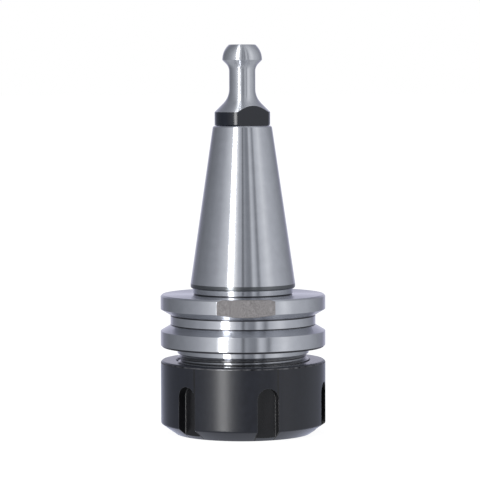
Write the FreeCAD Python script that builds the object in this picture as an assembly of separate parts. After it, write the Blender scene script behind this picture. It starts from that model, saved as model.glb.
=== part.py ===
import FreeCAD, Part
import math
import os

# Collet chuck holder: a 7/24 steep-taper holder body with a gripper flange, a pull stud screwed into its
# small end, and a clamping nut that closes a slit spring collet in its nose.
#
# Frame: the origin is the centre of the nut's front face, and +Z runs along the spindle axis to the
# pull stud. Lengths are in mm and angles in degrees, counted round the axis from +X towards +Y.

OUTSIDE_DIA = 50.0                 # the flange and the nut are turned to one diameter

# ---- Clamping nut ----
NUT_HEIGHT = 22.25
NUT_TOP_CHAMFER = 0.5
NUT_FACE_CHAMFER_DEPTH = 4.5       # radially, round the front face
NUT_FACE_CHAMFER_HEIGHT = 3.4     # along the axis
NUT_MOUTH_CHAMFER = 0.4
NUT_THREAD_RELIEF_LENGTH = 2.9     # between the extraction lip and the first full thread
NUT_THREAD_RELIEF_DEPTH = 0.4      # outside the thread's major diameter

# ---- Spanner slots in the nut ----
SLOT_COUNT = 6
SLOT_WIDTH = 6.5
SLOT_DEPTH = 3.0
SLOT_LENGTH = 16.0                 # from the front face to the top of the round end
SLOT_CORNER_CHAMFER = 0.9          # between the slot's floor and its walls
SLOT_ANGLE = -72.3                 # the first slot's middle

# ---- Extraction lip in the nut: a bore set off the axis, so one side reaches into the collet's groove ----
LIP_THICKNESS = 2.2
LIP_OFFSET = 0.95
LIP_CLEARANCE = 0.1                # radially, round the collet's head in the bore
LIP_ANGLE = 106.5

# ---- Nose thread, M40 x 1.5, drawn as plain cylinders at its pitch diameter ----
NOSE_THREAD_DIA = 40.0
NOSE_THREAD_PITCH = 1.5
NOSE_THREAD_FIT = 0.06             # radial clearance of the nut on the nose
NOSE_END_CHAMFER = 0.8
NOSE_BAND_LENGTH = 1.8             # plain band between the thread and the flange
NOSE_BAND_UNDERSIZE = 0.1          # the band's diameter is this much under the thread's

# ---- Spring collet, size 32 ----
COLLET_DIA = 33.0                  # at the shoulder behind the groove
COLLET_LENGTH = 40.0
COLLET_TAPER_ANGLE = 8.0           # from the axis
COLLET_FRONT_ANGLE = 30.0          # from the axis
COLLET_HEAD_STEP = 0.7             # the head stands this much inside the shoulder, radially
COLLET_FACE_STEP = 2.2             # from the head's edge in to the front face's, radially
COLLET_HEAD_LENGTH = 5.5
COLLET_GROOVE_DEPTH = 2.2          # under the shoulder
COLLET_GROOVE_WIDTH = 3.2
COLLET_BORE_DIA = 12.0
COLLET_BORE_CHAMFER = 0.5
COLLET_REAR_CHAMFER = 0.6
COLLET_SETBACK = 0.5               # the collet's face lies this far inside the nut's front face
COLLET_FIT = 0.1                   # between the collet's cones and the holder's and the nut's
SLIT_COUNT = 8                     # from each end, in turn round the collet
SLIT_WIDTH = 1.0
SLIT_FRONT_WEB = 10.0              # length at the front that the rear slits leave whole
SLIT_REAR_WEB = 6.0                # length at the rear that the front slits leave whole

# ---- Collet seat and bores of the holder body ----
SEAT_MOUTH_SETBACK = 3.5           # from the collet's shoulder to the nose's end
SEAT_OVERRUN = 3.0                 # the seat runs on behind the collet
SHANK_BORE_DIA = 21.0              # room for a long tool shank behind the collet
SHANK_BORE_LENGTH = 14.5
DRILL_POINT_ANGLE = 59.0           # from the axis

# ---- Flange with its gripper groove ----
FLANGE_GAP = 4.05                   # from the nut to the flange
FLANGE_THICKNESS = 15.95
FLANGE_TOP_CHAMFER = 0.5
FLANGE_LOWER_CHAMFER = 0.6
GROOVE_DEPTH = 3.0
GROOVE_MOUTH_WIDTH = 6.65
GROOVE_HEIGHT = 8.22               # from the flange's lower face to the groove's middle
GROOVE_FLANK_ANGLE = 30.5          # from the plane of the groove
MARKING_FLAT_DEPTH = 1.52
MARKING_FLAT_ANGLE = -87.1

# ---- Taper shank ----
GAUGE_DIA = 31.75
TAPER_LENGTH = 47.75
TAPER_RATIO = 7.0 / 24.0           # diameter over length
TAPER_END_CHAMFER = 0.4
GAUGE_BAND_LENGTH = 1.0            # cylinder under the gauge plane
GAUGE_BAND_CHAMFER = 0.35
GAUGE_HEIGHT = 3.25                # from the flange's upper face to the gauge plane
NECK_DIA = 30.3
NECK_UNDERCUT_DEPTH = 0.3
NECK_UNDERCUT_WIDTH = 0.4

# ---- Pull stud ----
STUD_HEIGHT = 24.45                # above the taper's small end
STUD_HEAD_DIA = 12.0
STUD_HEAD_TOP_DIA = 8.0
STUD_HEAD_HEIGHT = 4.45            # from the top to the widest line
STUD_HEAD_RIM = 0.2
STUD_HEAD_FILLET = 3.2             # from the head's 45 degree underside to the neck
STUD_NECK_DIA = 7.9
STUD_CONE_FILLET = 6.0             # from the neck to the 45 degree cone
STUD_COLLAR_DIA = 16.8
STUD_COLLAR_THICKNESS = 4.15
STUD_COLLAR_CHAMFER = 0.35
STUD_FLATS_ACROSS = 13.0
STUD_FLATS_ANGLE = -60.0
STUD_PILOT_DIA = 13.0
STUD_PILOT_LENGTH = 5.0
STUD_THREAD_DIA = 12.0
STUD_THREAD_PITCH = 1.75
STUD_SHANK_LENGTH = 24.0           # below the collar, pilot and thread together
STUD_RELIEF_DIA = 9.6
STUD_RELIEF_LENGTH = 2.0
STUD_TIP_CHAMFER = 1.0
STUD_FIT = 0.03                    # radial clearance of the pilot and the thread in the holder
STUD_PILOT_CLEARANCE = 1.5         # room under the pilot

PITCH_LINE = 0.6495                # a metric thread's major less its pitch diameter, over its pitch
CUT_SPARE = 1.0                    # how far a cutter runs past the stock

# ---- Sizes that follow from those above ----
tan_taper = math.tan(math.radians(COLLET_TAPER_ANGLE))
tan_front = math.tan(math.radians(COLLET_FRONT_ANGLE))

collet_front_z = COLLET_SETBACK
collet_head_z = collet_front_z + COLLET_HEAD_LENGTH
collet_shoulder_z = collet_head_z + COLLET_GROOVE_WIDTH
collet_rear_z = collet_front_z + COLLET_LENGTH
collet_head_radius = COLLET_DIA / 2 - COLLET_HEAD_STEP
collet_face_radius = collet_head_radius - COLLET_FACE_STEP

nose_end_z = collet_shoulder_z + SEAT_MOUTH_SETBACK
nose_thread_radius = (NOSE_THREAD_DIA - PITCH_LINE * NOSE_THREAD_PITCH) / 2
flange_bottom_z = NUT_HEIGHT + FLANGE_GAP
flange_top_z = flange_bottom_z + FLANGE_THICKNESS
gauge_z = flange_top_z + GAUGE_HEIGHT
taper_end_z = gauge_z + TAPER_LENGTH
stud_top_z = taper_end_z + STUD_HEIGHT


def collet_radius(z):
    """Radius of the collet's long taper at height z."""
    return COLLET_DIA / 2 - (z - collet_shoulder_z) * tan_taper


def turned(outline):
    """Solid turned about Z. An outline item is a corner (r, z), or an arc's (way point, end point)."""

    def point(corner):
        return FreeCAD.Vector(corner[0], 0, corner[1])

    edges = []
    start = outline[0]
    for item in outline[1:] + [outline[0]]:
        if isinstance(item[0], tuple):
            way, end = item
            edges.append(Part.Arc(point(start), point(way), point(end)).toShape())
        else:
            end = item
            edges.append(Part.LineSegment(point(start), point(end)).toShape())
        start = end
    section = Part.Face(Part.Wire(edges))
    return section.revolve(FreeCAD.Vector(0, 0, 0), FreeCAD.Vector(0, 0, 1), 360)


def fillet_arc(radius, corner_r, corner_z, side):
    """Arc that leads from the neck's straight wall into a 45 degree flare, as its (way point, end point).

    The wall stands at corner_r and the arc starts or ends on it at corner_z. side is +1 where the flare
    opens upwards, and -1 where it opens downwards.
    """
    half = math.radians(22.5)
    full = math.radians(45)
    way = (corner_r + radius * (1 - math.cos(half)), corner_z + side * radius * math.sin(half))
    end = (corner_r + radius * (1 - math.cos(full)), corner_z + side * radius * math.sin(full))
    return way, end


def turned_about_axis(shape, angle):
    """A copy of shape, turned about Z."""
    copy = shape.copy()
    copy.rotate(FreeCAD.Vector(0, 0, 0), FreeCAD.Vector(0, 0, 1), angle)
    return copy


def radial_box(inner, outer, width, low, high):
    """Box that runs outwards along +X, centred on the XZ plane."""
    corner = FreeCAD.Vector(inner, -width / 2, low)
    return Part.makeBox(outer - inner, width, high - low, corner)


def holder_body():
    """The turned body: nose, flange and taper, bored through from the collet seat to the pull stud."""
    nose_r = nose_thread_radius
    band_r = (NOSE_THREAD_DIA - NOSE_BAND_UNDERSIZE) / 2
    band_z = flange_bottom_z - NOSE_BAND_LENGTH
    flange_r = OUTSIDE_DIA / 2
    groove_z = flange_bottom_z + GROOVE_HEIGHT
    groove_r = flange_r - GROOVE_DEPTH
    mouth = GROOVE_MOUTH_WIDTH / 2
    floor = mouth - GROOVE_DEPTH * math.tan(math.radians(GROOVE_FLANK_ANGLE))
    gauge_r = GAUGE_DIA / 2
    neck_r = NECK_DIA / 2
    end_r = gauge_r - TAPER_LENGTH * TAPER_RATIO / 2
    end_chamfer_drop = TAPER_END_CHAMFER * (1 - TAPER_RATIO / 2)

    seat_end_z = collet_rear_z + SEAT_OVERRUN
    shank_r = SHANK_BORE_DIA / 2
    shank_end_z = seat_end_z + SHANK_BORE_LENGTH
    thread_r = (STUD_THREAD_DIA - PITCH_LINE * STUD_THREAD_PITCH) / 2 + STUD_FIT
    point_z = shank_end_z + (shank_r - thread_r) / math.tan(math.radians(DRILL_POINT_ANGLE))
    pilot_r = STUD_PILOT_DIA / 2 + STUD_FIT
    pilot_z = taper_end_z - STUD_PILOT_LENGTH - STUD_PILOT_CLEARANCE

    body = turned([
        # the bores, from the nose up
        (collet_radius(nose_end_z) + COLLET_FIT, nose_end_z),
        (collet_radius(seat_end_z) + COLLET_FIT, seat_end_z),
        (shank_r, seat_end_z),
        (shank_r, shank_end_z),
        (thread_r, point_z),
        (thread_r, pilot_z),
        (pilot_r, pilot_z),
        (pilot_r, taper_end_z),
        # the outside, from the taper's small end down
        (end_r - TAPER_END_CHAMFER, taper_end_z),
        (end_r + TAPER_END_CHAMFER * TAPER_RATIO / 2, taper_end_z - end_chamfer_drop),
        (gauge_r, gauge_z),
        (gauge_r, gauge_z - GAUGE_BAND_LENGTH),
        (gauge_r - GAUGE_BAND_CHAMFER, gauge_z - GAUGE_BAND_LENGTH - GAUGE_BAND_CHAMFER),
        (neck_r, gauge_z - GAUGE_BAND_LENGTH - GAUGE_BAND_CHAMFER),
        (neck_r, flange_top_z + NECK_UNDERCUT_WIDTH),
        (neck_r - NECK_UNDERCUT_DEPTH, flange_top_z + NECK_UNDERCUT_WIDTH - NECK_UNDERCUT_DEPTH),
        (neck_r - NECK_UNDERCUT_DEPTH, flange_top_z),
        (flange_r - FLANGE_TOP_CHAMFER, flange_top_z),
        (flange_r, flange_top_z - FLANGE_TOP_CHAMFER),
        (flange_r, groove_z + mouth),
        (groove_r, groove_z + floor),
        (groove_r, groove_z - floor),
        (flange_r, groove_z - mouth),
        (flange_r, flange_bottom_z + FLANGE_LOWER_CHAMFER),
        (flange_r - FLANGE_LOWER_CHAMFER, flange_bottom_z),
        (band_r, flange_bottom_z),
        (band_r, band_z),
        (nose_r, band_z - (band_r - nose_r)),
        (nose_r, nose_end_z + NOSE_END_CHAMFER),
        (nose_r - NOSE_END_CHAMFER, nose_end_z),
    ])

    # the flat for marks, milled on the upper rim only
    flat = radial_box(flange_r - MARKING_FLAT_DEPTH, flange_r + CUT_SPARE, OUTSIDE_DIA, groove_z,
                      flange_top_z + CUT_SPARE)
    return body.cut(turned_about_axis(flat, MARKING_FLAT_ANGLE))


def pull_stud():
    """Retention knob: a gripped head on a neck, a collar with two wrench flats, a pilot and a thread."""
    head_r = STUD_HEAD_DIA / 2
    head_z = stud_top_z - STUD_HEAD_HEIGHT
    rim_z = head_z - STUD_HEAD_RIM
    neck_r = STUD_NECK_DIA / 2
    collar_r = STUD_COLLAR_DIA / 2
    collar_z = taper_end_z + STUD_COLLAR_THICKNESS
    pilot_r = STUD_PILOT_DIA / 2
    thread_r = (STUD_THREAD_DIA - PITCH_LINE * STUD_THREAD_PITCH) / 2
    relief_r = STUD_RELIEF_DIA / 2
    pilot_z = taper_end_z - STUD_PILOT_LENGTH
    relief_z = pilot_z - STUD_RELIEF_LENGTH
    tip_z = taper_end_z - STUD_SHANK_LENGTH

    # the head's crown: an arc that is upright at its widest line and ends on the top face
    crown_in = (STUD_HEAD_DIA - STUD_HEAD_TOP_DIA) / 2
    crown_radius = (crown_in ** 2 + STUD_HEAD_HEIGHT ** 2) / (2 * crown_in)
    crown_half = math.asin(STUD_HEAD_HEIGHT / crown_radius) / 2
    crown_way_r = head_r - crown_radius * (1 - math.cos(crown_half))
    crown_way_z = head_z + crown_radius * math.sin(crown_half)

    # both flares run at 45 degrees, so a flare is as high as it is wide
    bend = 1 - math.cos(math.radians(45))
    rise = math.sin(math.radians(45))
    upper_wall_z = rim_z - (head_r - neck_r - STUD_HEAD_FILLET * bend) - STUD_HEAD_FILLET * rise
    lower_wall_z = collar_z + (collar_r - neck_r - STUD_CONE_FILLET * bend) + STUD_CONE_FILLET * rise
    upper_way, upper_end = fillet_arc(STUD_HEAD_FILLET, neck_r, upper_wall_z, 1)
    lower_way, lower_end = fillet_arc(STUD_CONE_FILLET, neck_r, lower_wall_z, -1)

    stud = turned([
        (0, tip_z),
        (thread_r - STUD_TIP_CHAMFER, tip_z),
        (thread_r, tip_z + STUD_TIP_CHAMFER),
        (thread_r, relief_z - (thread_r - relief_r)),
        (relief_r, relief_z),
        (relief_r, pilot_z),
        (pilot_r, pilot_z),
        (pilot_r, taper_end_z),
        (collar_r - STUD_COLLAR_CHAMFER, taper_end_z),
        (collar_r, taper_end_z + STUD_COLLAR_CHAMFER),
        (collar_r, collar_z),
        lower_end,
        (lower_way, (neck_r, lower_wall_z)),
        (neck_r, upper_wall_z),
        (upper_way, upper_end),
        (head_r, rim_z),
        (head_r, head_z),
        ((crown_way_r, crown_way_z), (STUD_HEAD_TOP_DIA / 2, stud_top_z)),
        (0, stud_top_z),
    ])

    # two opposed flats that run from the collar's lower face out through the cone
    flat = radial_box(STUD_FLATS_ACROSS / 2, collar_r + CUT_SPARE, STUD_COLLAR_DIA, taper_end_z - CUT_SPARE,
                      collar_z + collar_r)
    for side in range(2):
        stud = stud.cut(turned_about_axis(flat, STUD_FLATS_ANGLE + 180 * side))
    return stud


def spanner_slot():
    """Cutter for one spanner slot along +X: upright walls, a round top end and a chamfer round the floor."""
    half = SLOT_WIDTH / 2
    floor_x = OUTSIDE_DIA / 2 - SLOT_DEPTH
    round_z = SLOT_LENGTH - half

    def point(y, z):
        return FreeCAD.Vector(floor_x, y, z)

    edges = [
        Part.LineSegment(point(half, -CUT_SPARE), point(half, round_z)).toShape(),
        Part.Arc(point(half, round_z), point(0, SLOT_LENGTH), point(-half, round_z)).toShape(),
        Part.LineSegment(point(-half, round_z), point(-half, -CUT_SPARE)).toShape(),
        Part.LineSegment(point(-half, -CUT_SPARE), point(half, -CUT_SPARE)).toShape(),
    ]
    cutter = Part.Face(Part.Wire(edges)).extrude(FreeCAD.Vector(SLOT_DEPTH + CUT_SPARE, 0, 0))
    floor_edges = []
    for edge in cutter.Edges:
        box = edge.BoundBox
        on_floor = box.XMax < floor_x + SLOT_CORNER_CHAMFER / 2
        if on_floor and box.ZMax > 0:
            floor_edges.append(edge)
    return cutter.makeChamfer(SLOT_CORNER_CHAMFER, floor_edges)


def clamping_nut():
    """Slotted round nut: a cone for the collet's head, an offset extraction lip and the thread bore."""
    nut_r = OUTSIDE_DIA / 2
    cone_gap = COLLET_FIT / math.cos(math.radians(COLLET_FRONT_ANGLE))
    mouth_r = collet_face_radius - COLLET_SETBACK * tan_front + cone_gap
    lip_r = collet_head_radius + LIP_CLEARANCE
    cavity_r = lip_r + LIP_CLEARANCE
    cavity_z = (cavity_r - mouth_r) / tan_front
    lip_z = collet_head_z + (COLLET_GROOVE_WIDTH - LIP_THICKNESS) / 2
    relief_z = lip_z + LIP_THICKNESS
    thread_z = relief_z + NUT_THREAD_RELIEF_LENGTH
    thread_r = nose_thread_radius + NOSE_THREAD_FIT
    relief_r = NOSE_THREAD_DIA / 2 + NUT_THREAD_RELIEF_DEPTH
    entry = relief_r - thread_r
    lip_stock_r = lip_r - LIP_OFFSET - CUT_SPARE

    nut = turned([
        (mouth_r + NUT_MOUTH_CHAMFER, 0),
        (nut_r - NUT_FACE_CHAMFER_DEPTH, 0),
        (nut_r, NUT_FACE_CHAMFER_HEIGHT),
        (nut_r, NUT_HEIGHT - NUT_TOP_CHAMFER),
        (nut_r - NUT_TOP_CHAMFER, NUT_HEIGHT),
        (relief_r, NUT_HEIGHT),
        (thread_r, NUT_HEIGHT - entry),
        (thread_r, thread_z + entry),
        (relief_r, thread_z),
        (relief_r, relief_z),
        (lip_stock_r, relief_z),
        (lip_stock_r, lip_z),
        (cavity_r, lip_z),
        (cavity_r, cavity_z),
        (mouth_r + NUT_MOUTH_CHAMFER * tan_front, NUT_MOUTH_CHAMFER),
    ])

    lip_bore = Part.makeCylinder(lip_r, LIP_THICKNESS, FreeCAD.Vector(LIP_OFFSET, 0, lip_z))
    nut = nut.cut(turned_about_axis(lip_bore, LIP_ANGLE))

    slot = spanner_slot()
    for number in range(SLOT_COUNT):
        nut = nut.cut(turned_about_axis(slot, SLOT_ANGLE + 360 * number / SLOT_COUNT))
    return nut


def collet():
    """Spring collet: a short front cone, a groove, a long taper and slits from both ends in turn."""
    bore_r = COLLET_BORE_DIA / 2
    face_r = collet_face_radius
    head_r = collet_head_radius
    groove_r = COLLET_DIA / 2 - COLLET_GROOVE_DEPTH
    cone_z = collet_front_z + COLLET_FACE_STEP / tan_front
    rear_r = collet_radius(collet_rear_z - COLLET_REAR_CHAMFER)

    sleeve = turned([
        (bore_r + COLLET_BORE_CHAMFER, collet_front_z),
        (face_r, collet_front_z),
        (head_r, cone_z),
        (head_r, collet_head_z),
        (groove_r, collet_head_z),
        (groove_r, collet_shoulder_z),
        (COLLET_DIA / 2, collet_shoulder_z),
        (rear_r, collet_rear_z - COLLET_REAR_CHAMFER),
        (rear_r - COLLET_REAR_CHAMFER, collet_rear_z),
        (bore_r + COLLET_BORE_CHAMFER, collet_rear_z),
        (bore_r, collet_rear_z - COLLET_BORE_CHAMFER),
        (bore_r, collet_front_z + COLLET_BORE_CHAMFER),
    ])

    reach = COLLET_DIA / 2 + CUT_SPARE
    front_slit = radial_box(0, reach, SLIT_WIDTH, collet_front_z - CUT_SPARE, collet_rear_z - SLIT_REAR_WEB)
    rear_slit = radial_box(0, reach, SLIT_WIDTH, collet_front_z + SLIT_FRONT_WEB, collet_rear_z + CUT_SPARE)
    step = 360 / SLIT_COUNT
    for number in range(SLIT_COUNT):
        sleeve = sleeve.cut(turned_about_axis(front_slit, step * number))
        sleeve = sleeve.cut(turned_about_axis(rear_slit, step * (number + 0.5)))
    return sleeve


def main():
    pieces = {
        "holder_body": holder_body(),
        "pull_stud": pull_stud(),
        "clamping_nut": clamping_nut(),
        "collet": collet(),
    }
    os.makedirs("parts", exist_ok=True)
    for name, shape in pieces.items():
        shape.exportStep("parts/" + name + ".step")
        box = shape.BoundBox
        print(name, "solids", len(shape.Solids), "valid", shape.isValid(), "volume", round(shape.Volume, 1),
              "z", round(box.ZMin, 3), round(box.ZMax, 3))


main()
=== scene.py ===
import math

import bmesh
import bpy
from mathutils import Matrix, Vector


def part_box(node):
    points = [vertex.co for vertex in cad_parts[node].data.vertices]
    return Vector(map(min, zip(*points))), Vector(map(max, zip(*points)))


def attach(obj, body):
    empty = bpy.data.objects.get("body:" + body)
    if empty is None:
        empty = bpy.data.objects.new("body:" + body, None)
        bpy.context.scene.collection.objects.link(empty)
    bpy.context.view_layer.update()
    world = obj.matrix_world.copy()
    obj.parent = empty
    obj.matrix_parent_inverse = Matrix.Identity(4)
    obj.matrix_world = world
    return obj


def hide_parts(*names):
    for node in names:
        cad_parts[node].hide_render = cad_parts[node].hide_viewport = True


# A collet chuck holder: a steep-taper body with a gripper flange, its pull stud, and a slotted clamping
# nut that it stands on. The turned pieces are built here with their true edges and threads, round the
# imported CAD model.
#
# Pieces are drawn in mm in the CAD frame (origin at the nut's front face, +Z to the pull stud), and each
# mesh is scaled to metres when it is finished. Angles are in degrees, counted from +X towards +Y.

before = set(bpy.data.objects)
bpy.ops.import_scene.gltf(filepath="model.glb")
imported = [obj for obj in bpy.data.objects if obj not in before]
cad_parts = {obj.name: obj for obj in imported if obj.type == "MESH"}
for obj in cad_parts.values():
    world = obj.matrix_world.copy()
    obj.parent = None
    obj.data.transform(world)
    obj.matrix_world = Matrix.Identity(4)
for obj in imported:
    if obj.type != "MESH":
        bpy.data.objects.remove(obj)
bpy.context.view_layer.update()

MM = 0.001

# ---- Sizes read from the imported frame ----
nut_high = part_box("clamping_nut")[1] / MM
holder_low, holder_high = (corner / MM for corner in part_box("holder_body"))
stud_low, stud_high = (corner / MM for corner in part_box("pull_stud"))

outside_r = holder_high.x          # the flange and the nut are turned to one radius
nut_top_z = nut_high.z
nose_end_z = holder_low.z
taper_end_z = holder_high.z
stud_tip_z = stud_low.z
stud_top_z = stud_high.z

# ---- How fine the meshes are ----
SEGMENTS = 288                     # round a turned piece
EDGE_RADIUS = 0.12                 # on an edge that a turning tool has broken
ARC_STEP = 9.0                     # degrees between the points of a rounded corner
CROWN_STEPS = 12                   # along the arc of the pull stud's crown
STRAIGHT_HALF_ANGLE = 85.0         # a corner as open as this needs no rounding
ROUNDING_REACH = 0.45              # the most of a side that one rounded corner may take up
SHARP_ANGLE = 16.0                 # edges steeper than this are shaded sharp
TOUCH = 0.01                       # mm within which a face counts as lying on a surface
CUT_SPARE = 2.0                    # how far a cutter runs past the stock

# ---- Nose thread, M40 x 1.5 ----
THREAD_PITCH = 1.5
THREAD_CREST_R = 19.97
THREAD_ROOT_R = 19.08
NUT_THREAD_CREST_R = 19.22
NUT_THREAD_ROOT_R = 20.05
THREAD_STEPS = 120                 # round one turn
THREAD_FADE = 0.4                  # turns over which a thread runs in and out
THREAD_LEAST_HEIGHT = 0.02         # share of the full height left at its ends
FLANK_GAP = 0.04                   # along the axis, on each flank
TAN_FLANK = math.tan(math.radians(30))

# ---- Nose and flange ----
NOSE_END_CHAMFER = 0.8
NOSE_BAND_LENGTH = 1.8
NOSE_BAND_R = 19.95
FLANGE_GAP = 4.05                  # from the nut to the flange
FLANGE_THICKNESS = 15.95
FLANGE_TOP_CHAMFER = 0.5
FLANGE_LOWER_CHAMFER = 0.6
GROOVE_DEPTH = 3.0
GROOVE_MOUTH_WIDTH = 6.65
GROOVE_HEIGHT = 8.22
GROOVE_FLANK_ANGLE = 30.5
GROOVE_RELIEF_DEPTH = 0.12          # in the corners of its floor
GROOVE_RELIEF_WIDTH = 0.35
MARKING_FLAT_DEPTH = 1.55
MARKING_FLAT_ANGLE = -87.9

# ---- Taper shank and bores ----
GAUGE_R = 15.875
TAPER_LENGTH = 47.75
TAPER_SLOPE = 7.0 / 48.0           # radius over length
TAPER_END_CHAMFER = 0.4
GAUGE_BAND_LENGTH = 1.0
GAUGE_BAND_CHAMFER = 0.35
NECK_R = 15.15
NECK_UNDERCUT_DEPTH = 0.3
NECK_UNDERCUT_WIDTH = 0.4
SEAT_MOUTH_R = 16.1
SEAT_LENGTH = 30.8
TAN_SEAT = math.tan(math.radians(8))
SHANK_BORE_R = 10.5
SHANK_BORE_LENGTH = 14.5
STUD_BORE_R = 6.53
STUD_BORE_LENGTH = 6.5
STUD_THREAD_BORE_R = 5.46
DRILL_POINT_LENGTH = 3.0

# ---- Pull stud ----
STUD_HEAD_R = 6.0
STUD_HEAD_TOP_R = 4.0
STUD_HEAD_HEIGHT = 4.45
STUD_HEAD_RIM = 0.2
STUD_HEAD_FILLET = 3.2
STUD_NECK_R = 3.95
STUD_CONE_FILLET = 6.0
STUD_COLLAR_R = 8.4
STUD_COLLAR_THICKNESS = 4.15
STUD_COLLAR_CHAMFER = 0.35
STUD_FLATS_ACROSS = 13.0
STUD_FLATS_ANGLE = -60.0
STUD_PILOT_R = 6.5
STUD_PILOT_LENGTH = 5.0
STUD_SHANK_R = 5.4

# ---- Clamping nut ----
NUT_TOP_CHAMFER = 0.5
NUT_TOP_EDGE_RADIUS = 0.5          # between the chamfer and the outside
NUT_FACE_CHAMFER_DEPTH = 4.5
NUT_FACE_CHAMFER_HEIGHT = 3.15
NUT_FACE_EDGE_RADIUS = 0.8
NUT_MOUTH_R = 13.83
NUT_CAVITY_R = 16.0
NUT_LIP_R = 15.9
NUT_LIP_Z = 6.5
NUT_LIP_THICKNESS = 2.2
NUT_LIP_OFFSET = 0.95
NUT_LIP_ANGLE = 106.5
NUT_THREAD_Z = 12.2
NUT_THREAD_TOP_MARGIN = 0.7
SLOT_COUNT = 6
SLOT_WIDTH = 6.5
SLOT_DEPTH = 3.0
SLOT_LENGTH = 16.0
SLOT_CORNER_RADIUS = 0.35
SLOT_ANGLE = -72.8
SLOT_STEPS = 20                    # round the slot's end


# --------------------------------------------------------------------------------------------------
# Turned forms
# --------------------------------------------------------------------------------------------------

def rounded_corner(before, corner, after, radius):
    """Points of the arc that rounds off a corner of an outline, or the corner itself if it is straight."""
    to_before = before - corner
    to_after = after - corner
    half = to_before.angle(to_after) / 2
    if radius == 0 or half > math.radians(STRAIGHT_HALF_ANGLE):
        return [corner]
    room = ROUNDING_REACH * min(to_before.length, to_after.length)
    reach = min(radius / math.tan(half), room)
    start = to_before.normalized() * reach
    end = to_after.normalized() * reach
    centre = (start + end) / (2 * math.cos(half) ** 2)
    turn = math.pi - 2 * half
    steps = max(2, round(math.degrees(turn) / ARC_STEP))
    points = []
    for step in range(steps + 1):
        share = step / steps
        spoke = (start - centre) * math.sin((1 - share) * turn) + (end - centre) * math.sin(share * turn)
        points.append(corner + centre + spoke / math.sin(turn))
    return points


def rounded(outline):
    """An outline with its corners rounded. An item is (r, z), or (r, z, radius) for its own radius."""
    corners = [Vector(item[:2]) for item in outline]
    points = []
    for number, item in enumerate(outline):
        radius = item[2] if len(item) > 2 else EDGE_RADIUS
        if item[0] == 0:
            radius = 0
        before = corners[number - 1]
        after = corners[(number + 1) % len(corners)]
        points += rounded_corner(before, corners[number], after, radius)
    return points


def mesh_object(name, mesh):
    """A scene object from a bmesh."""
    bmesh.ops.recalc_face_normals(mesh, faces=mesh.faces)
    data = bpy.data.meshes.new(name)
    mesh.to_mesh(data)
    mesh.free()
    piece = bpy.data.objects.new(name, data)
    bpy.context.scene.collection.objects.link(piece)
    return piece


def ring(mesh, radius, z):
    """One ring of vertices, which is a single vertex repeated where it lies on the axis."""
    if radius < 1e-6:
        return [mesh.verts.new((0, 0, z))] * SEGMENTS
    vertices = []
    for step in range(SEGMENTS):
        angle = 2 * math.pi * step / SEGMENTS
        vertices.append(mesh.verts.new((radius * math.cos(angle), radius * math.sin(angle), z)))
    return vertices


def lathe(name, outline):
    """A solid turned from a closed outline of (r, z) corners."""
    mesh = bmesh.new()
    rings = [ring(mesh, point.x, point.y) for point in rounded(outline)]
    for near, far in zip(rings, rings[1:] + rings[:1]):
        for step in range(SEGMENTS):
            following = (step + 1) % SEGMENTS
            corners = dict.fromkeys((near[step], near[following], far[following], far[step]))
            if len(corners) > 2:
                mesh.faces.new(list(corners))
    return mesh_object(name, mesh)


# --------------------------------------------------------------------------------------------------
# Cutting
# --------------------------------------------------------------------------------------------------

def turned(data, angle):
    """Turns a mesh about the axis."""
    data.transform(Matrix.Rotation(math.radians(angle), 4, "Z"))


def carve(piece, cutter):
    """Cuts one object out of another and deletes the cutter."""
    modifier = piece.modifiers.new("cut", "BOOLEAN")
    modifier.operation = "DIFFERENCE"
    modifier.solver = "EXACT"
    modifier.object = cutter
    depsgraph = bpy.context.evaluated_depsgraph_get()
    piece.data = bpy.data.meshes.new_from_object(piece.evaluated_get(depsgraph))
    piece.modifiers.clear()
    bpy.data.objects.remove(cutter)


def stacked(layers):
    """A solid from outlines with equal numbers of points, laid one on another and closed at both ends."""
    mesh = bmesh.new()
    rings = [[mesh.verts.new(point) for point in layer] for layer in layers]
    for near, far in zip(rings, rings[1:]):
        for step in range(len(near)):
            following = (step + 1) % len(near)
            mesh.faces.new((near[step], near[following], far[following], far[step]))
    mesh.faces.new(rings[0])
    mesh.faces.new(rings[-1])
    return mesh_object("cutter", mesh)


def block(inner, outer, width, low, high):
    """A box that runs outwards along +X, centred on the XZ plane."""
    half = width / 2
    layers = []
    for x in (inner, outer):
        layers.append([(x, -half, low), (x, half, low), (x, half, high), (x, -half, high)])
    return stacked(layers)


def slot_outline(x, inset):
    """The slot's U at one depth, its walls moved in by inset: open at the front face, round at the top."""
    half = SLOT_WIDTH / 2 - inset
    round_z = SLOT_LENGTH - SLOT_WIDTH / 2
    points = [(x, half, -CUT_SPARE)]
    for step in range(SLOT_STEPS + 1):
        angle = math.pi * step / SLOT_STEPS
        points.append((x, half * math.cos(angle), round_z + half * math.sin(angle)))
    points.append((x, -half, -CUT_SPARE))
    return points


def slot_cutter():
    """Cutter for one spanner slot along +X, as a bull-nosed mill leaves it."""
    floor_x = outside_r - SLOT_DEPTH
    layers = []
    for degrees in range(0, 91, 15):
        angle = math.radians(degrees)
        x = floor_x + SLOT_CORNER_RADIUS * (1 - math.cos(angle))
        layers.append(slot_outline(x, SLOT_CORNER_RADIUS * (1 - math.sin(angle))))
    layers.append(slot_outline(outside_r + CUT_SPARE, 0))
    return stacked(layers)


# --------------------------------------------------------------------------------------------------
# Threads
# --------------------------------------------------------------------------------------------------

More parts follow.
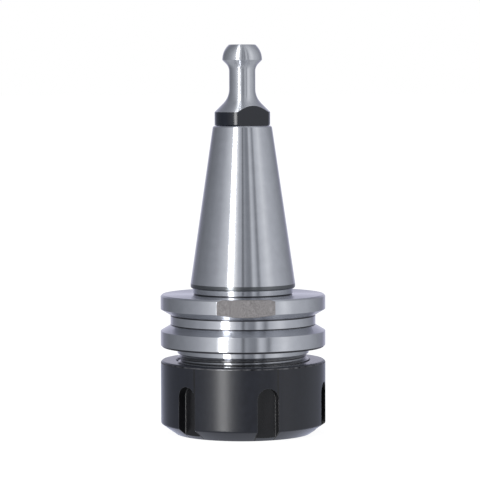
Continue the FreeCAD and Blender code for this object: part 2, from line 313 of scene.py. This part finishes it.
def thread_ridge(name, root_r, crest_r, low, high, offset):
    """A right-hand helical ridge that fades in and out, and whose crest passes z = offset at +X.

    A ridge on a shaft is flat over an eighth of the pitch at its crest, and one in a bore over a quarter.
    """
    height = abs(crest_r - root_r)
    crest_half = THREAD_PITCH / (16 if crest_r > root_r else 8) - FLANK_GAP
    root_half = crest_half + height * TAN_FLANK
    first = (low - offset) / THREAD_PITCH
    count = round((high - low) / THREAD_PITCH * THREAD_STEPS)
    mesh = bmesh.new()
    sections = []
    for step in range(count + 1):
        turns = step / THREAD_STEPS
        left = (count - step) / THREAD_STEPS
        fade = min(1.0, turns / THREAD_FADE, left / THREAD_FADE)
        reach = root_r + (crest_r - root_r) * max(fade, THREAD_LEAST_HEIGHT)
        angle = 2 * math.pi * (first + turns)
        z = low + THREAD_PITCH * turns
        section = []
        flank = ((root_r, -root_half), (reach, -crest_half), (reach, crest_half), (root_r, root_half))
        for radius, shift in flank:
            section.append(mesh.verts.new((radius * math.cos(angle), radius * math.sin(angle), z + shift)))
        sections.append(section)
    for near, far in zip(sections, sections[1:]):
        for side in range(4):
            following = (side + 1) % 4
            mesh.faces.new((near[side], near[following], far[following], far[side]))
    mesh.faces.new(sections[0])
    mesh.faces.new(sections[-1])
    return mesh_object(name, mesh)


# --------------------------------------------------------------------------------------------------
# Pieces
# --------------------------------------------------------------------------------------------------

flange_bottom_z = nut_top_z + FLANGE_GAP
flange_top_z = flange_bottom_z + FLANGE_THICKNESS
groove_z = flange_bottom_z + GROOVE_HEIGHT
gauge_z = taper_end_z - TAPER_LENGTH
collar_z = taper_end_z + STUD_COLLAR_THICKNESS
marking_flat_r = outside_r - MARKING_FLAT_DEPTH


def holder_body():
    """The turned body: threaded nose, grooved flange with its marking flat, undercut neck and taper."""
    mouth = GROOVE_MOUTH_WIDTH / 2
    floor = mouth - GROOVE_DEPTH * math.tan(math.radians(GROOVE_FLANK_ANGLE))
    groove_r = outside_r - GROOVE_DEPTH
    relief_r = groove_r - GROOVE_RELIEF_DEPTH
    band_z = flange_bottom_z - NOSE_BAND_LENGTH
    gauge_band_z = gauge_z - GAUGE_BAND_LENGTH
    gauge_chamfer_z = gauge_band_z - GAUGE_BAND_CHAMFER
    undercut_r = NECK_R - NECK_UNDERCUT_DEPTH
    undercut_z = flange_top_z + NECK_UNDERCUT_WIDTH
    end_r = GAUGE_R - TAPER_LENGTH * TAPER_SLOPE
    seat_end_z = nose_end_z + SEAT_LENGTH
    shank_end_z = seat_end_z + SHANK_BORE_LENGTH
    pilot_z = taper_end_z - STUD_BORE_LENGTH
    body = lathe("holder_body_turned", [
        (SEAT_MOUTH_R, nose_end_z),
        (SEAT_MOUTH_R - SEAT_LENGTH * TAN_SEAT, seat_end_z),
        (SHANK_BORE_R, seat_end_z),
        (SHANK_BORE_R, shank_end_z),
        (STUD_THREAD_BORE_R, shank_end_z + DRILL_POINT_LENGTH),
        (STUD_THREAD_BORE_R, pilot_z),
        (STUD_BORE_R, pilot_z),
        (STUD_BORE_R, taper_end_z),
        (end_r - TAPER_END_CHAMFER, taper_end_z),
        (end_r + TAPER_END_CHAMFER * TAPER_SLOPE, taper_end_z - TAPER_END_CHAMFER),
        (GAUGE_R, gauge_z),
        (GAUGE_R, gauge_band_z),
        (GAUGE_R - GAUGE_BAND_CHAMFER, gauge_chamfer_z),
        (NECK_R, gauge_chamfer_z),
        (NECK_R, undercut_z),
        (undercut_r, undercut_z - NECK_UNDERCUT_DEPTH),
        (undercut_r, flange_top_z),
        (outside_r - FLANGE_TOP_CHAMFER, flange_top_z),
        (outside_r, flange_top_z - FLANGE_TOP_CHAMFER),
        (outside_r, groove_z + mouth),
        (groove_r, groove_z + floor),
        (relief_r, groove_z + floor - GROOVE_RELIEF_WIDTH / 2, 0),
        (groove_r, groove_z + floor - GROOVE_RELIEF_WIDTH, 0),
        (groove_r, groove_z - floor + GROOVE_RELIEF_WIDTH, 0),
        (relief_r, groove_z - floor + GROOVE_RELIEF_WIDTH / 2, 0),
        (groove_r, groove_z - floor),
        (outside_r, groove_z - mouth),
        (outside_r, flange_bottom_z + FLANGE_LOWER_CHAMFER),
        (outside_r - FLANGE_LOWER_CHAMFER, flange_bottom_z),
        (NOSE_BAND_R, flange_bottom_z),
        (NOSE_BAND_R, band_z),
        (THREAD_ROOT_R, band_z - (NOSE_BAND_R - THREAD_ROOT_R) / 2),
        (THREAD_ROOT_R, nose_end_z + NOSE_END_CHAMFER),
        (THREAD_ROOT_R - NOSE_END_CHAMFER, nose_end_z),
    ])
    flat = block(marking_flat_r, outside_r + CUT_SPARE, 2 * outside_r, groove_z, flange_top_z + CUT_SPARE)
    turned(flat.data, MARKING_FLAT_ANGLE)
    carve(body, flat)
    return body


def nose_thread():
    """The nose's thread, which the nut's thread runs in."""
    low = nose_end_z + NOSE_END_CHAMFER + THREAD_PITCH / 2
    high = flange_bottom_z - NOSE_BAND_LENGTH - THREAD_PITCH / 4
    return thread_ridge("nose_thread", THREAD_ROOT_R, THREAD_CREST_R, low, high, 0)


def crown():
    """The stud head's crown: an arc that is upright at its widest line and ends on the top face."""
    depth = STUD_HEAD_R - STUD_HEAD_TOP_R
    radius = (depth ** 2 + STUD_HEAD_HEIGHT ** 2) / (2 * depth)
    whole = math.asin(STUD_HEAD_HEIGHT / radius)
    widest_z = stud_top_z - STUD_HEAD_HEIGHT
    points = []
    for step in range(1, CROWN_STEPS):
        angle = whole * step / CROWN_STEPS
        crown_r = STUD_HEAD_R - radius * (1 - math.cos(angle))
        points.append((crown_r, widest_z + radius * math.sin(angle), 0))
    return points


def pull_stud():
    """The retention knob: a gripped head on a neck, and a collar with two wrench flats."""
    widest_z = stud_top_z - STUD_HEAD_HEIGHT
    rim_z = widest_z - STUD_HEAD_RIM
    head_root_z = rim_z - (STUD_HEAD_R - STUD_NECK_R)
    cone_root_z = collar_z + (STUD_COLLAR_R - STUD_NECK_R)
    stud = lathe("pull_stud_turned", [
        (0, stud_tip_z),
        (STUD_SHANK_R, stud_tip_z, 0.8),
        (STUD_SHANK_R, taper_end_z - STUD_PILOT_LENGTH),
        (STUD_PILOT_R, taper_end_z - STUD_PILOT_LENGTH),
        (STUD_PILOT_R, taper_end_z),
        (STUD_COLLAR_R - STUD_COLLAR_CHAMFER, taper_end_z),
        (STUD_COLLAR_R, taper_end_z + STUD_COLLAR_CHAMFER),
        (STUD_COLLAR_R, collar_z, 0),
        (STUD_NECK_R, cone_root_z, STUD_CONE_FILLET),
        (STUD_NECK_R, head_root_z, STUD_HEAD_FILLET),
        (STUD_HEAD_R, rim_z),
        (STUD_HEAD_R, widest_z, 0),
    ] + crown() + [
        (STUD_HEAD_TOP_R, stud_top_z, 0.25),
        (0, stud_top_z),
    ])
    for side in range(2):
        flat = block(STUD_FLATS_ACROSS / 2, STUD_COLLAR_R + CUT_SPARE, 2 * STUD_COLLAR_R,
                     taper_end_z - CUT_SPARE, collar_z + STUD_COLLAR_R)
        turned(flat.data, STUD_FLATS_ANGLE + 180 * side)
        carve(stud, flat)
    return stud


def clamping_nut():
    """The slotted nut, with its front cone, its extraction lip set off the axis, and its thread's root."""
    lip_top_z = NUT_LIP_Z + NUT_LIP_THICKNESS
    lip_stock_r = NUT_LIP_R - NUT_LIP_OFFSET - 1
    cavity_z = (NUT_CAVITY_R - NUT_MOUTH_R) / math.tan(math.radians(30))
    nut = lathe("clamping_nut_turned", [
        (NUT_MOUTH_R, 0),
        (outside_r - NUT_FACE_CHAMFER_DEPTH, 0),
        (outside_r, NUT_FACE_CHAMFER_HEIGHT, NUT_FACE_EDGE_RADIUS),
        (outside_r, nut_top_z - NUT_TOP_CHAMFER, NUT_TOP_EDGE_RADIUS),
        (outside_r - NUT_TOP_CHAMFER, nut_top_z),
        (NUT_THREAD_ROOT_R + 0.4, nut_top_z),
        (NUT_THREAD_ROOT_R, nut_top_z - 0.4),
        (NUT_THREAD_ROOT_R, lip_top_z),
        (lip_stock_r, lip_top_z),
        (lip_stock_r, NUT_LIP_Z),
        (NUT_CAVITY_R, NUT_LIP_Z),
        (NUT_CAVITY_R, cavity_z),
    ])
    bore = []
    for z in (NUT_LIP_Z - 0.001, lip_top_z + 0.001):
        circle = []
        for step in range(SEGMENTS):
            angle = 2 * math.pi * step / SEGMENTS
            circle.append((NUT_LIP_OFFSET + NUT_LIP_R * math.cos(angle), NUT_LIP_R * math.sin(angle), z))
        bore.append(circle)
    lip_bore = stacked(bore)
    turned(lip_bore.data, NUT_LIP_ANGLE)
    carve(nut, lip_bore)
    for number in range(SLOT_COUNT):
        slot = slot_cutter()
        turned(slot.data, SLOT_ANGLE + 360 * number / SLOT_COUNT)
        carve(nut, slot)
    return nut


def nut_thread():
    """The nut's thread, half a pitch from the nose's."""
    high = nut_top_z - NUT_THREAD_TOP_MARGIN
    offset = THREAD_PITCH / 2
    return thread_ridge("nut_thread", NUT_THREAD_ROOT_R, NUT_THREAD_CREST_R, NUT_THREAD_Z, high, offset)


# --------------------------------------------------------------------------------------------------
# Materials
# --------------------------------------------------------------------------------------------------

BLOTCH_SIZE = 3.0                  # mm, of the steel's faint mottling
BLOTCH_SHADE = 0.93
STEEL_MARK_DEPTH = 0.0003          # mm
STEEL_EDGE_RADIUS = 0.1            # of the normals that roll over an edge
OXIDE_BLOTCH_SIZE = 1.6
OXIDE_BLOTCH_SHADE = 1.35
OXIDE_MARKS = 0.12
OXIDE_MARK_DEPTH = 0.0004
OXIDE_EDGE_RADIUS = 0.18
OXIDE_WORN_COLOUR = (0.10, 0.10, 0.105)
OXIDE_HAZE_TINT = (0.75, 0.8, 1.0)
GRAIN_SIZE = 0.28                  # of the etched flat
GRAIN_DEPTH = 0.02
# width in mm of the painted shade along the marking flat's edges
FLAT_EDGE_SHADE_WIDTH = 0.3


class Nodes:
    """A material's node tree, with short calls for adding and joining nodes."""

    def __init__(self, name):
        self.material = bpy.data.materials.new(name)
        self.material.use_nodes = True
        self.tree = self.material.node_tree
        self.shader = self.tree.nodes["Principled BSDF"]

    def add(self, kind, **settings):
        node = self.tree.nodes.new(kind)
        for key, value in settings.items():
            setattr(node, key, value)
        return node

    def join(self, output, socket):
        self.tree.links.new(output, socket)

    def math(self, operation, first, second=0.0):
        """A Math node; each operand is a number or another node's output."""
        node = self.add("ShaderNodeMath", operation=operation)
        for socket, operand in zip(node.inputs, (first, second)):
            if isinstance(operand, (int, float)):
                socket.default_value = operand
            else:
                self.join(operand, socket)
        return node.outputs[0]

    def turning_marks(self, spacing, swirl):
        """Noise drawn out round the axis, as a lathe or a wheel leaves it; spacing is in mm."""
        position = self.add("ShaderNodeTexCoord").outputs["Object"]
        parts = self.add("ShaderNodeSeparateXYZ")
        self.join(position, parts.inputs[0])
        x, y, z = parts.outputs
        squares = self.math("ADD", self.math("MULTIPLY", x, x), self.math("MULTIPLY", y, y))
        radius = self.math("SQRT", squares)
        turned_x = self.math("MULTIPLY", self.math("DIVIDE", x, radius), swirl)
        turned_y = self.math("MULTIPLY", self.math("DIVIDE", y, radius), swirl)
        across = 1 / (spacing * MM)
        place = self.add("ShaderNodeCombineXYZ")
        self.join(self.math("MULTIPLY", radius, across), place.inputs[0])
        self.join(self.math("MULTIPLY", z, across), place.inputs[1])
        self.join(turned_x, place.inputs[2])
        noise = self.add("ShaderNodeTexNoise", noise_dimensions="4D")
        noise.inputs["Scale"].default_value = 1.0
        noise.inputs["Detail"].default_value = 3.0
        self.join(place.outputs[0], noise.inputs["Vector"])
        self.join(turned_y, noise.inputs["W"])
        return noise.outputs["Fac"]

    def mottling(self, size, detail=3.0):
        """Plain noise of a given size in mm."""
        position = self.add("ShaderNodeTexCoord").outputs["Object"]
        noise = self.add("ShaderNodeTexNoise")
        noise.inputs["Scale"].default_value = 1 / (size * MM)
        noise.inputs["Detail"].default_value = detail
        self.join(position, noise.inputs["Vector"])
        return noise.outputs["Fac"]

    def span(self, value, low, high):
        """Noise between about 0.3 and 0.7, spread between low and high."""
        node = self.add("ShaderNodeMapRange")
        node.inputs["From Min"].default_value = 0.3
        node.inputs["From Max"].default_value = 0.7
        node.inputs["To Min"].default_value = low
        node.inputs["To Max"].default_value = high
        self.join(value, node.inputs["Value"])
        return node.outputs["Result"]

    def blend(self, share, first, second):
        """A colour between two colours; each is a tuple or another node's output."""
        node = self.add("ShaderNodeMix", data_type="RGBA")
        self.join(share, node.inputs["Factor"])
        for key, colour in (("A", first), ("B", second)):
            if isinstance(colour, tuple):
                node.inputs[key].default_value = (*colour, 1)
            else:
                self.join(colour, node.inputs[key])
        return node.outputs["Result"]

    def soft_edges(self, radius):
        """Normals that roll over each sharp edge; radius in mm."""
        bevel = self.add("ShaderNodeBevel", samples=6)
        bevel.inputs["Radius"].default_value = radius * MM
        return bevel.outputs["Normal"]

    def bump(self, height, depth, normal=None):
        """Bump from a height between 0 and 1; depth in mm."""
        node = self.add("ShaderNodeBump")
        node.inputs["Distance"].default_value = depth * MM
        self.join(height, node.inputs["Height"])
        if normal:
            self.join(normal, node.inputs["Normal"])
        self.join(node.outputs["Normal"], self.shader.inputs["Normal"])

    def edge_wear_and_shade(self, radius):
        """A mask that is 1 on the line of a sharp edge and 0 away from it; radius in mm."""
        bevel = self.soft_edges(radius)
        flat = self.add("ShaderNodeNewGeometry").outputs["Normal"]
        facing = self.add("ShaderNodeVectorMath", operation="DOT_PRODUCT")
        self.join(bevel, facing.inputs[0])
        self.join(flat, facing.inputs[1])
        wear = self.add("ShaderNodeMapRange")
        wear.inputs["From Min"].default_value = 0.995
        wear.inputs["From Max"].default_value = 0.85
        self.join(facing.outputs["Value"], wear.inputs["Value"])
        return wear.outputs["Result"]


def machined_steel(name, colour, roughness, marks):
    """Turned or ground steel: reflections drawn out along the axis, fine rings round it, faint mottling.

    The spacing of the rings is marks, in mm.
    """
    nodes = Nodes(name)
    shader = nodes.shader
    shader.inputs["Metallic"].default_value = 1.0
    shader.inputs["Anisotropic"].default_value = 1.0
    shader.inputs["Anisotropic Rotation"].default_value = 0.25
    tangent = nodes.add("ShaderNodeTangent", direction_type="RADIAL", axis="Z")
    nodes.join(tangent.outputs[0], shader.inputs["Tangent"])
    rings = nodes.turning_marks(marks, 1.5)
    blotches = nodes.span(nodes.mottling(BLOTCH_SIZE), 0, 1)
    darker = tuple(BLOTCH_SHADE * part for part in colour)
    nodes.join(nodes.blend(blotches, colour, darker), shader.inputs["Base Color"])
    nodes.join(nodes.span(rings, roughness - 0.01, roughness + 0.02), shader.inputs["Roughness"])
    nodes.bump(rings, STEEL_MARK_DEPTH, nodes.soft_edges(STEEL_EDGE_RADIUS))
    return nodes.material


def black_oxide(name, colour, roughness, haze=0.8):
    """Blackened steel: a thin dark layer over turning marks, worn grey along its edges.

    The haze is how much the layer brightens where it is seen along its surface.
    """
    nodes = Nodes(name)
    shader = nodes.shader
    shader.inputs["Metallic"].default_value = 0.0
    shader.inputs["IOR"].default_value = 1.5
    shader.inputs["Sheen Weight"].default_value = haze
    shader.inputs["Sheen Roughness"].default_value = 0.3
    shader.inputs["Sheen Tint"].default_value = (*OXIDE_HAZE_TINT, 1)
    rings = nodes.turning_marks(OXIDE_MARKS, 2.0)
    blotches = nodes.mottling(OXIDE_BLOTCH_SIZE, 5.0)
    duller = tuple(OXIDE_BLOTCH_SHADE * part for part in colour)
    patchy = nodes.blend(nodes.span(blotches, 0, 1), colour, duller)
    patches = nodes.span(nodes.mottling(0.5), 0.1, 1.0)
    worn = nodes.math("MULTIPLY", nodes.edge_wear_and_shade(OXIDE_EDGE_RADIUS), patches)
    nodes.join(nodes.blend(worn, patchy, OXIDE_WORN_COLOUR), shader.inputs["Base Color"])
    nodes.join(nodes.span(blotches, roughness - 0.015, roughness + 0.015), shader.inputs["Roughness"])
    nodes.bump(rings, OXIDE_MARK_DEPTH, nodes.soft_edges(OXIDE_EDGE_RADIUS))
    return nodes.material


def worn_edge(name):
    """An edge where handling has rubbed the black through to bare steel, in patches."""
    nodes = Nodes(name)
    shader = nodes.shader
    shader.inputs["Metallic"].default_value = 1.0
    patches = nodes.span(nodes.mottling(1.4, 4.0), 0, 1)
    nodes.join(nodes.blend(patches, (0.02, 0.02, 0.022), (0.20, 0.20, 0.21)), shader.inputs["Base Color"])
    nodes.join(nodes.span(nodes.mottling(0.6), 0.28, 0.42), shader.inputs["Roughness"])
    return nodes.material


def etched_steel(name):
    """The marking flat: a matt grey surface with a fine etched grain, and painted shade along its edges.
    """
    nodes = Nodes(name)
    shader = nodes.shader
    shader.inputs["Metallic"].default_value = 0.6
    grain = nodes.mottling(GRAIN_SIZE, 2.0)
    face = nodes.blend(nodes.span(grain, 0, 1), (0.33, 0.315, 0.315), (0.15, 0.142, 0.142))
    # painted shade: a dark line along the flat's edges, standing in for the shadow there
    painted_edge_shade = nodes.edge_wear_and_shade(FLAT_EDGE_SHADE_WIDTH)
    nodes.join(nodes.blend(painted_edge_shade, face, (0.07, 0.065, 0.065)), shader.inputs["Base Color"])
    nodes.join(nodes.span(grain, 0.5, 0.7), shader.inputs["Roughness"])
    nodes.bump(grain, GRAIN_DEPTH, nodes.soft_edges(0.12))
    return nodes.material


# --------------------------------------------------------------------------------------------------
# Finishing the pieces
# --------------------------------------------------------------------------------------------------

def finish_piece(piece, materials, body, node=None):
    """Gives a piece its materials, smooth shading and place in the frame, and scales it to metres."""
    data = piece.data
    data.materials.clear()
    for material in materials:
        data.materials.append(material)
    data.transform(Matrix.Scale(MM, 4))
    data.shade_smooth()
    data.set_sharp_from_angle(angle=math.radians(SHARP_ANGLE))
    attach(piece, body)
    if node:
        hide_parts(node)


def paint(piece, material, wanted):
    """Gives one of the piece's materials to the faces whose centre and normal are wanted."""
    number = piece.data.materials.find(material.name)
    for face in piece.data.polygons:
        if wanted(face.center, face.normal):
            face.material_index = number


def on_flat(direction, distance):
    """A test for faces that lie on a flat milled at that distance from the axis, in that direction."""
    outward = Vector((math.cos(math.radians(direction)), math.sin(math.radians(direction)), 0))

    def wanted(centre, normal):
        return normal.dot(outward) > 0.999 and abs(centre.dot(outward) - distance) < TOUCH * MM

    return wanted


def on_gauge_band(centre, normal):
    """A test for the band under the taper, which is turned and not ground."""
    band = gauge_z - GAUGE_BAND_LENGTH - GAUGE_BAND_CHAMFER < centre.z / MM < gauge_z
    return band and normal.z < 0.1 and centre.xy.length / MM > NECK_R


def gets_painted_shade(centre, normal):
    """A test for the faces painted dark as shade: the groove's reliefs, the neck's undercut and the
    flange's lower chamfer.
    """
    radius = centre.xy.length / MM
    z = centre.z / MM
    relief_r = outside_r - GROOVE_DEPTH - TOUCH
    in_relief = NECK_R + 1 < radius < relief_r and abs(z - groove_z) < GROOVE_MOUTH_WIDTH / 2
    in_undercut = radius < NECK_R - TOUCH and flange_top_z < z < flange_top_z + NECK_UNDERCUT_WIDTH
    facing_down = normal.z < -0.9
    near_edge = radius > outside_r - 1 and z < flange_bottom_z + FLANGE_LOWER_CHAMFER
    on_chamfer = near_edge and normal.z < -0.3
    return in_relief or ((in_undercut or on_chamfer) and not facing_down)


def in_slot(centre, normal):
    """A test for the floor, corners and walls of the spanner slots."""
    for number in range(SLOT_COUNT):
        angle = math.radians(SLOT_ANGLE + 360 * number / SLOT_COUNT)
        place = Matrix.Rotation(-angle, 3, "Z") @ centre / MM
        inside = abs(place.y) < SLOT_WIDTH / 2 + TOUCH and place.z < SLOT_LENGTH + TOUCH
        if inside and place.x > outside_r - SLOT_DEPTH - TOUCH:
            return True
    return False


def on_nut_top(centre, normal):
    """A test for the nut's top face."""
    return normal.z > 0.9 and centre.z > (nut_top_z - TOUCH) * MM


def on_nut_top_edge(centre, normal):
    """A test for the chamfer round the nut's top face and for the radius below it."""
    return 0.05 < normal.z < 0.65 and centre.xy.length > (outside_r - 1) * MM


def dress_holder_body():
    """Ground steel, with the etched flat, a duller turned band under the taper, and painted shade in the
    recesses and on the flange's lower chamfer.
    """
    ground = machined_steel("ground_steel", (0.60, 0.615, 0.655), roughness=0.20, marks=0.09)
    etched = etched_steel("etched_steel")
    band = machined_steel("turned_band_steel", (0.20, 0.21, 0.22), roughness=0.34, marks=0.12)
    # painted shade: a dark steel that stands in for the shade in the groove's reliefs, the neck's undercut
    # and on the flange's lower chamfer
    painted_shade = machined_steel("painted_shade_steel", (0.10, 0.10, 0.11), roughness=0.40, marks=0.12)
    piece = holder_body()
    finish_piece(piece, [ground, etched, band, painted_shade], "holder", "holder_body")
    paint(piece, etched, on_flat(MARKING_FLAT_ANGLE, marking_flat_r * MM))
    paint(piece, band, on_gauge_band)
    paint(piece, painted_shade, gets_painted_shade)


def dress_pull_stud():
    """Bright turned steel, with black oxide on the collar and its wrench flats."""
    bright = machined_steel("turned_stud_steel", (0.66, 0.675, 0.71), roughness=0.24, marks=0.14)
    black = black_oxide("stud_black_oxide", (0.002, 0.0035, 0.008), roughness=0.15)
    piece = pull_stud()
    finish_piece(piece, [bright, black], "holder", "pull_stud")
    paint(piece, black, lambda centre, normal: centre.z < collar_z * MM)
    for side in range(2):
        paint(piece, black, on_flat(STUD_FLATS_ANGLE + 180 * side, STUD_FLATS_ACROSS / 2 * MM))


def dress_nut(black):
    """Black oxide, glossier on the top face and in the slots, with painted shade darkening the slots, and
    rubbed bright round the top edge.
    """
    top = black_oxide("nut_face_black_oxide", (0.0065, 0.0075, 0.012), roughness=0.14, haze=0.0)
    # painted shade: the slots' black is darker than the nut's outside, for the shade inside them
    slot = black_oxide("shaded_slot_black_oxide", (0.005, 0.005, 0.006), roughness=0.24, haze=0.0)
    worn = worn_edge("worn_edge")
    piece = clamping_nut()
    finish_piece(piece, [black, top, slot, worn], "nut", "clamping_nut")
    paint(piece, top, on_nut_top)
    paint(piece, slot, in_slot)
    paint(piece, worn, on_nut_top_edge)


def dress_threads(black):
    """The nose's thread in turned steel darkened as painted shade, and the nut's in its own black."""
    # painted shade: the thread's steel is darker than the ground steel, for the shade between its turns
    # under the flange
    thread_shade_steel = machined_steel("shaded_thread_steel", (0.30, 0.30, 0.31), roughness=0.24, marks=0.2)
    finish_piece(nose_thread(), [thread_shade_steel], "holder")
    finish_piece(nut_thread(), [black], "nut")


def dress_collet():
    """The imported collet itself, in ground steel."""
    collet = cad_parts["collet"]
    collet.data.materials.clear()
    ground = machined_steel("collet_ground_steel", (0.58, 0.59, 0.61), roughness=0.2, marks=0.1)
    collet.data.materials.append(ground)


def dress_pieces():
    """All pieces, with their materials."""
    nut_black = black_oxide("nut_black_oxide", (0.0065, 0.0075, 0.012), roughness=0.30)
    dress_holder_body()
    dress_pull_stud()
    dress_nut(nut_black)
    dress_threads(nut_black)
    dress_collet()


# --------------------------------------------------------------------------------------------------
# Studio
# --------------------------------------------------------------------------------------------------

# The light tent round the object: (degrees from the camera, to the right; brightness). The camera's own
# side is dark in the middle, and a pale backdrop stands behind the object.
TENT = [
    (-180, 0.62), (-166, 0.58), (-157, 0.48), (-146, 0.27), (-126, 0.22), (-96, 0.30), (-66, 0.48),
    (-42, 0.86), (-18, 1.10), (-10, 0.62), (-4, 0.58), (0, 0.10), (4, 0.48), (10, 0.32), (18, 0.28),
    (24, 0.80), (30, 0.62), (36, 0.22), (42, 0.66), (60, 0.95), (76, 0.68), (102, 0.53), (126, 0.38),
    (146, 0.30), (157, 0.46), (166, 0.56), (180, 0.62),
]
TENT_PEAK = 1.2
CEILING = 0.50
CEILING_EDGE = (0.90, 0.99)        # heights of a direction between which the tent gives way to it
UNDERSIDE = 0.50
UNDERSIDE_EDGE = (-0.35, -0.75)
BACKDROP_EDGE = 126.0              # degrees from the camera at which the backdrop's lavender starts
BACKDROP_BLEND = 31.0
KEY_AZIMUTH = -28.1
KEY_WIDTH = 10.4
KEY_RADIANCE = 9.0
KEY_DISTANCE = 1.5
KEY_LOW = -0.6
KEY_HIGH = 3.0
FLOOR_SIZE = 60.0
FLOOR_GLOW = 0.94

# ---- Camera ----
CAMERA_PLACE = (-0.00083, -0.780, 0.1050)
CAMERA_PITCH = 3.403               # degrees down
CAMERA_ROLL = -0.19
CAMERA_LENS = 193.3
CAMERA_SENSOR = 36.0


def tinted(level, azimuth=0):
    """A tent brightness as a colour: darker cloth is a little blue, and the backdrop is lavender."""
    share = level / TENT_PEAK
    dark = 1 - min(share, 1)
    back = min(max((abs(azimuth) - BACKDROP_EDGE) / BACKDROP_BLEND, 0), 1)
    green = 1 + 0.05 * dark * (1 - back)
    blue = 1 + 0.16 * dark + 0.12 * back
    return (share, share * green, share * blue, 1)


def light_tent():
    """The world: white to the camera, and to the object a tent whose brightness changes round it."""
    world = bpy.data.worlds.new("studio")
    bpy.context.scene.world = world
    world.use_nodes = True
    tree = world.node_tree
    tree.nodes.clear()

    def add(kind, **settings):
        node = tree.nodes.new(kind)
        for key, value in settings.items():
            setattr(node, key, value)
        return node

    direction = add("ShaderNodeTexCoord").outputs["Generated"]
    parts = add("ShaderNodeSeparateXYZ")
    tree.links.new(direction, parts.inputs[0])
    towards_camera = add("ShaderNodeMath", operation="MULTIPLY")
    towards_camera.inputs[1].default_value = -1
    tree.links.new(parts.outputs["Y"], towards_camera.inputs[0])
    azimuth = add("ShaderNodeMath", operation="ARCTAN2")
    tree.links.new(parts.outputs["X"], azimuth.inputs[0])
    tree.links.new(towards_camera.outputs[0], azimuth.inputs[1])
    share = add("ShaderNodeMapRange")
    share.inputs["From Min"].default_value = -math.pi
    share.inputs["From Max"].default_value = math.pi
    tree.links.new(azimuth.outputs[0], share.inputs["Value"])
    ramp = add("ShaderNodeValToRGB")
    stops = ramp.color_ramp.elements
    while len(stops) > 1:
        stops.remove(stops[-1])
    stops[0].position = 0
    stops[0].color = tinted(TENT[0][1], TENT[0][0])
    for degrees, level in TENT[1:]:
        stops.new((degrees + 180) / 360).color = tinted(level, degrees)
    tree.links.new(share.outputs["Result"], ramp.inputs["Fac"])

    sky = ramp.outputs["Color"]
    for (start, end), level in ((CEILING_EDGE, CEILING), (UNDERSIDE_EDGE, UNDERSIDE)):
        rise = add("ShaderNodeMapRange", interpolation_type="SMOOTHSTEP")
        rise.inputs["From Min"].default_value = start
        rise.inputs["From Max"].default_value = end
        tree.links.new(parts.outputs["Z"], rise.inputs["Value"])
        mix = add("ShaderNodeMix", data_type="RGBA")
        tree.links.new(rise.outputs["Result"], mix.inputs["Factor"])
        tree.links.new(sky, mix.inputs["A"])
        mix.inputs["B"].default_value = tinted(level)
        sky = mix.outputs["Result"]

    tent = add("ShaderNodeBackground")
    tent.inputs["Strength"].default_value = TENT_PEAK
    tree.links.new(sky, tent.inputs["Color"])
    white = add("ShaderNodeBackground")
    white.inputs["Color"].default_value = (1, 1, 1, 1)
    seen = add("ShaderNodeMixShader")
    tree.links.new(add("ShaderNodeLightPath").outputs["Is Camera Ray"], seen.inputs["Fac"])
    tree.links.new(tent.outputs[0], seen.inputs[1])
    tree.links.new(white.outputs[0], seen.inputs[2])
    tree.links.new(seen.outputs[0], add("ShaderNodeOutputWorld").inputs["Surface"])


def key_light():
    """A tall soft strip to the left of the camera."""
    data = bpy.data.lights.new("key_strip", "AREA")
    data.shape = "RECTANGLE"
    data.size = 2 * KEY_DISTANCE * math.tan(math.radians(KEY_WIDTH / 2))
    data.size_y = KEY_HIGH - KEY_LOW
    data.energy = KEY_RADIANCE * math.pi * data.size * data.size_y
    light = bpy.data.objects.new("key_strip", data)
    angle = math.radians(KEY_AZIMUTH)
    middle = (KEY_LOW + KEY_HIGH) / 2
    light.location = (KEY_DISTANCE * math.sin(angle), -KEY_DISTANCE * math.cos(angle), middle)
    light.rotation_euler = (math.radians(90), 0, angle)
    light.visible_camera = False
    bpy.context.scene.collection.objects.link(light)


def floor():
    """A plain pale floor, which stays under the nut when the nut is screwed off."""
    half = FLOOR_SIZE / 2
    data = bpy.data.meshes.new("floor")
    corners = [(-half, -half, 0), (half, -half, 0), (half, half, 0), (-half, half, 0)]
    data.from_pydata(corners, [], [(0, 1, 2, 3)])
    plane = bpy.data.objects.new("floor", data)
    bpy.context.scene.collection.objects.link(plane)
    material = bpy.data.materials.new("pale_floor")
    material.use_nodes = True
    shader = material.node_tree.nodes["Principled BSDF"]
    shader.inputs["Base Color"].default_value = (0.2, 0.2, 0.2, 1)
    shader.inputs["Roughness"].default_value = 1.0
    shader.inputs["Specular IOR Level"].default_value = 0.0
    shader.inputs["Emission Color"].default_value = (1, 1, 1, 1)
    shader.inputs["Emission Strength"].default_value = FLOOR_GLOW
    data.materials.append(material)
    plane.visible_glossy = False
    plane.visible_diffuse = False
    plane.visible_shadow = False
    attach(plane, "collet")


def camera():
    """The photograph's view: a long lens, a little above the holder and looking slightly down."""
    data = bpy.data.cameras.new("camera")
    data.lens = CAMERA_LENS
    data.sensor_width = CAMERA_SENSOR
    data.clip_end = 200
    view = bpy.data.objects.new("camera", data)
    tilt = Matrix.Rotation(math.radians(90 - CAMERA_PITCH), 4, "X")
    roll = Matrix.Rotation(math.radians(CAMERA_ROLL), 4, "Z")
    view.matrix_world = Matrix.Translation(CAMERA_PLACE) @ tilt @ roll
    bpy.context.scene.collection.objects.link(view)
    bpy.context.scene.camera = view


dress_pieces()
light_tent()
key_light()
floor()
camera()
bpy.context.scene.view_settings.view_transform = "Standard"
